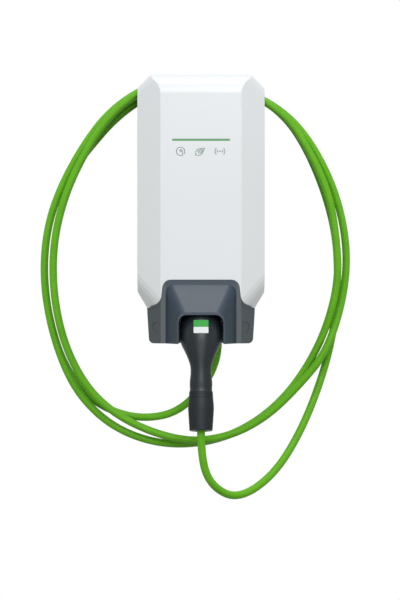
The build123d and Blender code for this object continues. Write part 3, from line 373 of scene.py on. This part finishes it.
ZINC_STEEL = plated("zinc_plated_steel", "#B9BBBD", 0.35)
SILVER_PLATE = plated("silver_plated_copper", "#E4E2DC", 0.2)
ALUMINIUM_CAN = plated("aluminium_can", "#C9CCD0", 0.3)
print("metals:", [m.name for m in (ZINC_STEEL, SILVER_PLATE, ALUMINIUM_CAN)])

# %% [markdown]
# ## Light guide and label
# The light bar is a tinted acrylic guide, so it shows an even green with a faint glow. The plate
# on the connector is bare: a green upper half over a pale lower half, which one threshold along Z
# divides.

# %% Light guide and label
PLATE_SPLIT_Z = -176.7 * MM


def light_guide():
    """Tinted acrylic that is lit faintly from behind."""
    material, tree = new_tree("green_acrylic_light_guide")
    place = add_node(tree, "ShaderNodeTexCoord").outputs["Object"]
    haze = add_node(tree, "ShaderNodeTexNoise", {"Vector": place, "Scale": 60.0, "Detail": 1.0})
    tone = add_node(
        tree,
        "ShaderNodeMix",
        {"Factor": haze.outputs["Fac"], "A": linear("#599862"), "B": linear("#61A06A")},
        data_type="RGBA",
    )
    surface = add_node(
        tree,
        "ShaderNodeBsdfPrincipled",
        {
            "Base Color": tone.outputs["Result"],
            "Roughness": 0.3,
            "IOR": 1.49,
            "Emission Color": tone.outputs["Result"],
            "Emission Strength": 0.12,
        },
    )
    add_node(tree, "ShaderNodeOutputMaterial", {"Surface": surface.outputs["BSDF"]})
    return material


def two_tone_plate():
    """Printed plate, green above and pale below the split."""
    material, tree = new_tree("two_tone_printed_plate")
    place = add_node(tree, "ShaderNodeTexCoord").outputs["Object"]
    height = add_node(tree, "ShaderNodeSeparateXYZ", {"Vector": place}).outputs["Z"]
    upper = add_node(tree, "ShaderNodeMath", {0: height, 1: PLATE_SPLIT_Z}, operation="GREATER_THAN")
    tone = add_node(
        tree,
        "ShaderNodeMix",
        {"Factor": upper.outputs["Value"], "A": linear("#DDE0E1"), "B": linear("#3BA043")},
        data_type="RGBA",
    )
    surface = add_node(
        tree,
        "ShaderNodeBsdfPrincipled",
        {"Base Color": tone.outputs["Result"], "Roughness": 0.4, "Specular IOR Level": 0.2},
    )
    add_node(tree, "ShaderNodeOutputMaterial", {"Surface": surface.outputs["BSDF"]})
    return material


LIGHT_GUIDE = light_guide()
PRINTED_PLATE = two_tone_plate()
print("plate divides at Z =", round(PLATE_SPLIT_Z / MM, 1), "mm")

# %% [markdown]
# ## Skins over the construction
# A CAD mesh comes as loose triangles, so light breaks at each one. A skin is a copy of it with
# its points merged. It is shaded smooth up to a sharp angle, and its normals are weighted by the
# area of each face, so that a flat stays flat and only the small fillets beside it turn the
# light. The skin stands for its node and lies exactly on it.

# %% Skins
SHARP_ANGLE = math.radians(32)
MERGE_DISTANCE = 0.002 * MM


def skin(node, material, slot):
    """Welded, smoothly shaded copy of a CAD node's mesh, standing for the node."""
    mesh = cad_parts[node].data.copy()
    mesh.name = node + "_skin"
    welded = bmesh.new()
    welded.from_mesh(mesh)
    bmesh.ops.remove_doubles(welded, verts=welded.verts, dist=MERGE_DISTANCE)
    welded.to_mesh(mesh)
    welded.free()
    if "custom_normal" in mesh.attributes:
        mesh.attributes.remove(mesh.attributes["custom_normal"])
    mesh.shade_smooth()
    mesh.set_sharp_from_angle(angle=SHARP_ANGLE)
    mesh.materials.clear()
    mesh.materials.append(material)
    piece = bpy.data.objects.new(node + "_skin", mesh)
    scene.collection.objects.link(piece)
    weight = piece.modifiers.new("area", "WEIGHTED_NORMAL")
    weight.keep_sharp = True
    depsgraph = bpy.context.evaluated_depsgraph_get()
    piece.data = bpy.data.meshes.new_from_object(piece.evaluated_get(depsgraph))
    piece.modifiers.clear()
    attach(piece, "root")
    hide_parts(node)
    return piece


print("a skin keeps edges sharper than", round(math.degrees(SHARP_ANGLE)), "degrees")

# %% [markdown]
# ### Which finish each piece gets
# One table names the material and the slot of every node that gets a skin. The slots gather what
# a user of the part would recolour together. Only the cable isn't in the table, because the tube
# on its own line stands for it.

# %% Finishes
FINISHES = {
    "front_cover": (WHITE_ASA, "cover_white"),
    "light_bar": (LIGHT_GUIDE, "light_green"),
    "rear_housing": (HOUSING_GREY, "housing_grey"),
    "clamp_seat": (HOUSING_GREY, "housing_grey"),
    "connector_holder": (GRAPHITE_ASA, "holder_grey"),
    "holder_screw_caps": (GRAPHITE_ASA, "holder_grey"),
    "parking_cup": (BLACK_POLYAMIDE, "connector_black"),
    "connector_shell": (BLACK_POLYAMIDE, "connector_black"),
    "face_insert": (BLACK_POLYAMIDE, "connector_black"),
    "connector_label": (PRINTED_PLATE, "label_green"),
    "grip_sleeve": (SOFT_SLEEVE, "sleeve_rubber"),
    "cable_seal": (EPDM, "seal_rubber"),
    "bend_relief": (EPDM, "seal_rubber"),
    "supply_gland_plug": (EPDM, "seal_rubber"),
    "lid_seal": (EPDM, "seal_rubber"),
    "cable_tail": (GREEN_JACKET, "cable_green"),
    "cable_gland_body": (GLAND_NYLON, "gland_black"),
    "cable_gland_lock_nut": (GLAND_NYLON, "gland_black"),
    "cable_gland_nut": (GLAND_NYLON, "gland_black"),
    "supply_gland_body": (GLAND_NYLON, "gland_black"),
    "supply_gland_lock_nut": (GLAND_NYLON, "gland_black"),
    "supply_gland_nut": (GLAND_NYLON, "gland_black"),
    "pressure_vent": (GLAND_NYLON, "gland_black"),
    "power_contacts": (SILVER_PLATE, "contact_silver"),
    "signal_contacts": (SILVER_PLATE, "contact_silver"),
    "inner_lid": (LID_GREY, "lid_grey"),
    "lid_screws": (ZINC_STEEL, "screw_steel"),
    "cover_screws": (ZINC_STEEL, "screw_steel"),
    "holder_screws": (ZINC_STEEL, "screw_steel"),
    "cover_board_screws": (ZINC_STEEL, "screw_steel"),
    "main_board_screws": (ZINC_STEEL, "screw_steel"),
    "clamp_screws": (ZINC_STEEL, "screw_steel"),
    "cable_clamp": (PART_GREY, "part_grey"),
    "power_supply": (PART_GREY, "part_grey"),
    "supply_terminals": (PART_GREY, "part_grey"),
    "cable_terminals": (PART_GREY, "part_grey"),
    "main_board": (BOARD_GREEN, "board_green"),
    "indicator_board": (BOARD_GREEN, "board_green"),
    "card_reader_antenna": (BOARD_GREEN, "board_green"),
    "control_module": (ALUMINIUM_CAN, "can_aluminium"),
    "capacitors": (ALUMINIUM_CAN, "can_aluminium"),
    "power_relay_left": (PART_BLACK, "part_black"),
    "power_relay_right": (PART_BLACK, "part_black"),
    "residual_current_sensor": (PART_BLACK, "part_black"),
}
skins = {node: skin(node, *finish) for node, finish in FINISHES.items()}
print("skins:", len(skins), "left bare:", sorted(set(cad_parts) - set(skins)))

# %% [markdown]
# ## Icons under the light bar
# Three thin line drawings are printed on the cover: a ring with a hook and radio waves in grey,
# and a leaf in green grey. The ink is a thin matte film that doesn't cover everywhere alike.

# %% Screen inks


def screen_ink(name, colour, thin):
    """Screen-printed ink: matte, and uneven between its colour and where its cover is thin."""
    material, tree = new_tree(name)
    place = add_node(tree, "ShaderNodeTexCoord").outputs["Object"]
    cover = add_node(tree, "ShaderNodeTexNoise", {"Vector": place, "Scale": 900.0, "Detail": 1.0})
    tone = add_node(
        tree,
        "ShaderNodeMix",
        {"Factor": cover.outputs["Fac"], "A": linear(colour), "B": linear(thin)},
        data_type="RGBA",
    )
    surface = add_node(
        tree, "ShaderNodeBsdfPrincipled", {"Base Color": tone.outputs["Result"], "Roughness": 0.6}
    )
    add_node(tree, "ShaderNodeOutputMaterial", {"Surface": surface.outputs["BSDF"]})
    return material


GREY_INK = screen_ink("grey_screen_ink", "#4E5659", "#5A6265")
LEAF_INK = screen_ink("leaf_green_screen_ink", "#3E7356", "#4A7F62")
print("inks:", GREY_INK.name, LEAF_INK.name)

# %% [markdown]
# Each icon is a set of strokes, and a stroke is a path with a flat band along it, so a Geometry
# Nodes tree does the work: it takes the drawn curves, sweeps a flat rectangle along them and sets
# the ink. Half of the rectangle's height sinks into the cover, and the other half is the film.

# %% Stroke tree
INK_RISE = 0.15 * MM


def stroke_tree():
    """Node group that turns drawn curves into flat printed bands."""
    tree = bpy.data.node_groups.new("printed_strokes", "GeometryNodeTree")
    face = tree.interface
    face.new_socket("Geometry", in_out="INPUT", socket_type="NodeSocketGeometry")
    face.new_socket("Stroke Width", in_out="INPUT", socket_type="NodeSocketFloat")
    face.new_socket("Ink Height", in_out="INPUT", socket_type="NodeSocketFloat")
    face.new_socket("Ink", in_out="INPUT", socket_type="NodeSocketMaterial")
    face.new_socket("Geometry", in_out="OUTPUT", socket_type="NodeSocketGeometry")
    given = add_node(tree, "NodeGroupInput")
    level = add_node(
        tree, "GeometryNodeSetCurveNormal", {"Curve": given.outputs["Geometry"]}, mode="Z_UP"
    )
    band = add_node(
        tree,
        "GeometryNodeCurvePrimitiveQuadrilateral",
        {"Width": given.outputs["Stroke Width"], "Height": given.outputs["Ink Height"]},
        mode="RECTANGLE",
    )
    swept = add_node(
        tree,
        "GeometryNodeCurveToMesh",
        {"Curve": level.outputs["Curve"], "Profile Curve": band.outputs["Curve"], "Fill Caps": True},
    )
    plain = add_node(tree, "GeometryNodeRealizeInstances", {"Geometry": swept.outputs["Mesh"]})
    inked = add_node(
        tree,
        "GeometryNodeSetMaterial",
        {"Geometry": plain.outputs["Geometry"], "Material": given.outputs["Ink"]},
    )
    add_node(tree, "NodeGroupOutput", {"Geometry": inked.outputs["Geometry"]})
    return tree


STROKES = stroke_tree()
print("stroke tree:", len(STROKES.nodes), "nodes")

# %% [markdown]
# A drawing is a list of polylines in millimetres around its own middle. Arcs come from a small
# function, so that the ring and the waves are true circles. The leaf's two edges are one bulged
# curve and its mirror image, with the widest place nearer to the stem.

# %% Icon drawings


def arc(centre, radius, start, end, steps=24):
    """Points of an arc, from start to end in degrees, anticlockwise from the right."""
    turns = [math.radians(start + (end - start) * i / steps) for i in range(steps + 1)]
    return [(centre[0] + radius * math.cos(t), centre[1] + radius * math.sin(t)) for t in turns]


def ring_drawing():
    """Open ring with a small hook that comes down through its gap."""
    return [
        arc((0, 0), 6.7, -18, 288, 40),
        arc((0.6, 0.6), 2.1, 190, 0, 18) + [(3.0, -3.0), (3.6, -6.6)],
        arc((0.5, 0.1), 0.7, 0, 300, 10),
        [(6.2, -1.8), (5.6, -4.6)],
    ]


def leaf_drawing():
    """Leaf on a slant, with a short stem, a midrib and one long vein on each side."""
    lean = math.radians(36)
    half_length, bulge, skew = 8.6, 4.9, 0.7
    shares = [i / 16 for i in range(17)]
    upper = [(half_length * (2 * s - 1), bulge * math.sin(math.pi * s**skew)) for s in shares]
    lower = [(x, -y) for x, y in reversed(upper)]
    stem = [(-half_length - 1.8, -0.8), (-half_length, 0)]
    rib = [(-4.2, 0.0), (-1.0, 0.5), (2.0, -0.3), (5.4, 0.2)]
    veins = [[(-4.0, 2.1), (-0.6, 2.5), (3.4, 2.0)], [(-3.6, -2.0), (0.0, -2.5), (3.8, -1.8)]]
    turned = []
    for line in [upper + lower, stem, rib, *veins]:
        turned.append(
            [
                (x * math.cos(lean) - y * math.sin(lean), x * math.sin(lean) + y * math.cos(lean))
                for x, y in line
            ]
        )
    return turned


def wave_drawing():
    """Short bar between two pairs of arcs."""
    lines = [[(-2.2, 0.2), (2.2, 0.2)]]
    for radius, reach in ((4.6, 28), (7.8, 42)):
        lines.append(arc((0, 0), radius, -reach, reach, 14))
        lines.append(arc((0, 0), radius, 180 - reach, 180 + reach, 14))
    return lines


print("strokes:", len(ring_drawing()), len(leaf_drawing()), len(wave_drawing()))

# %% [markdown]
# The drawings are made flat on the ground, where the node tree sweeps them. Then the mesh is
# turned upright and moved to its place on the cover's face, below the light bar.

# %% Printing the icons
ICON_Z = 103.5 * MM
ICON_PITCH = 31.5 * MM
ICON_MIDDLE_X = -1.2 * MM
STROKE_WIDTH = 0.85 * MM


def print_icon(name, drawing, ink, x):
    """Make an icon's strokes by the node tree and stand them on the cover's face."""
    curve = bpy.data.curves.new(name, "CURVE")
    curve.dimensions = "3D"
    for line in drawing:
        spline = curve.splines.new("POLY")
        spline.points.add(len(line) - 1)
        for point, (across, up) in zip(spline.points, line):
            point.co = (across * MM, up * MM, 0, 1)
    source = bpy.data.objects.new(name + "_lines", curve)
    scene.collection.objects.link(source)
    modifier = source.modifiers.new("strokes", "NODES")
    modifier.node_group = STROKES
    sizes = {"Stroke Width": STROKE_WIDTH, "Ink Height": 2 * INK_RISE, "Ink": ink}
    for socket in STROKES.interface.items_tree:
        if socket.in_out == "INPUT" and socket.name in sizes:
            modifier[socket.identifier] = sizes[socket.name]
    depsgraph = bpy.context.evaluated_depsgraph_get()
    mesh = bpy.data.meshes.new_from_object(source.evaluated_get(depsgraph))
    bpy.data.objects.remove(source)
    stand = Matrix.Translation((x, FACE_Y, ICON_Z)) @ Matrix.Rotation(math.radians(90), 4, "X")
    mesh.transform(stand)
    icon = bpy.data.objects.new(name, mesh)
    scene.collection.objects.link(icon)
    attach(icon, "root")
    return icon


for name, drawing, ink, step in (
    ("icon_ring", ring_drawing(), GREY_INK, -1),
    ("icon_leaf", leaf_drawing(), LEAF_INK, 0),
    ("icon_waves", wave_drawing(), GREY_INK, 1),
):
    icon = print_icon(name, drawing, ink, ICON_MIDDLE_X + step * ICON_PITCH)
    print(name, "faces:", len(icon.data.polygons))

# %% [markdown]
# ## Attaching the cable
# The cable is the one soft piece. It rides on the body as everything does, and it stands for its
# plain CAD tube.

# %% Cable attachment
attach(cable, "root")
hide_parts("charging_cable")

# %% [markdown]
# ## Background
# The box hangs in front of a plain white ground, so there is no floor. The world is white to the
# camera. To matte surfaces it gives a soft light that is fuller from above than from below, as
# under a studio's ceiling. Glossy surfaces mirror a white front and two darker cards at the
# sides, which keeps the flanks of the dock and of the connector dark.

# %% World
WORLD_LIGHT_BELOW = 0.06
WORLD_LIGHT_ABOVE = 0.72
# How far to the side a mirrored ray points, as a share, where a card begins and where it is full
CARD_EDGES = (0.3, 0.75)
# How bright a card is, beside the white front
CARD_LEVEL = 0.35

world = bpy.data.worlds.new("studio")
world.use_nodes = True
world.node_tree.nodes.clear()
ray = add_node(world.node_tree, "ShaderNodeTexCoord").outputs["Generated"]
heading = add_node(world.node_tree, "ShaderNodeSeparateXYZ", {"Vector": ray})
ceiling = add_node(
    world.node_tree,
    "ShaderNodeMapRange",
    {
        "Value": heading.outputs["Z"],
        "From Min": -1.0,
        "To Min": WORLD_LIGHT_BELOW,
        "To Max": WORLD_LIGHT_ABOVE,
    },
)
side = add_node(world.node_tree, "ShaderNodeMath", {0: heading.outputs["X"]}, operation="ABSOLUTE")
cards = add_node(
    world.node_tree,
    "ShaderNodeMapRange",
    {
        "Value": side.outputs["Value"],
        "From Min": CARD_EDGES[0],
        "From Max": CARD_EDGES[1],
        "To Min": 1.0,
        "To Max": CARD_LEVEL,
    },
)
rays = add_node(world.node_tree, "ShaderNodeLightPath")
direct = add_node(
    world.node_tree,
    "ShaderNodeMath",
    {0: rays.outputs["Is Camera Ray"], 1: rays.outputs["Is Transmission Ray"]},
    operation="MAXIMUM",
)
plain = add_node(
    world.node_tree,
    "ShaderNodeMix",
    {"Factor": direct.outputs["Value"], "A": ceiling.outputs["Result"], "B": 1.0},
)
level = add_node(
    world.node_tree,
    "ShaderNodeMix",
    {
        "Factor": rays.outputs["Is Glossy Ray"],
        "A": plain.outputs["Result"],
        "B": cards.outputs["Result"],
    },
)
sky = add_node(
    world.node_tree,
    "ShaderNodeBackground",
    {"Color": linear("#FFFFFF"), "Strength": level.outputs["Result"]},
)
add_node(world.node_tree, "ShaderNodeOutputWorld", {"Surface": sky.outputs["Background"]})
scene.world = world
print("world nodes:", len(world.node_tree.nodes))

# %% [markdown]
# ## Lamps
# The key lamp stands high in front and gives the cover its even face. The lamp overhead lights
# the top bend and shows as the light plane of the hood, which mirrors the ceiling. A small lamp
# in front, below the key, draws the soft strip down the connector. One lamp on each side lifts
# the side facets. Those two aren't mirrored, so the dark plastic keeps its dark flanks.

# %% Lamps


def lamp(name, place, aim, size, power, mirrored=True):
    """Square area lamp at a place, turned to its aim, which shiny surfaces mirror or not."""
    data = bpy.data.lights.new(name, "AREA")
    data.size = size
    data.energy = power
    light = bpy.data.objects.new(name, data)
    light.location = place
    light.rotation_euler = (Vector(aim) - Vector(place)).to_track_quat("-Z", "Y").to_euler()
    light.visible_glossy = mirrored
    scene.collection.objects.link(light)
    return light


lamp("key", (0.2, -2.2, 1.2), (0, -0.1, 0), 1.0, 22.5)
lamp("front", (0, -2.6, -0.5), (0, -0.1, -0.15), 0.6, 2.8)
lamp("top", (0, -0.5, 2.3), (0, -0.1, 0), 1.0, 9.5)
lamp("left", (-2.4, -1.0, 0.1), (0, -0.1, -0.1), 1.0, 14.5, mirrored=False)
lamp("right", (2.4, -1.0, 0.1), (0, -0.1, -0.1), 1.0, 14.5, mirrored=False)

# %% [markdown]
# ## Sizes and finish
# The last cell measures the dressed object against the CAD box and writes both down.

# %% Finish
seen_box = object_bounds()
for corner, was, now in zip(("low", "high"), cad_box, seen_box):
    print(corner, [round(a, 4) for a in was], [round(b, 4) for b in now])
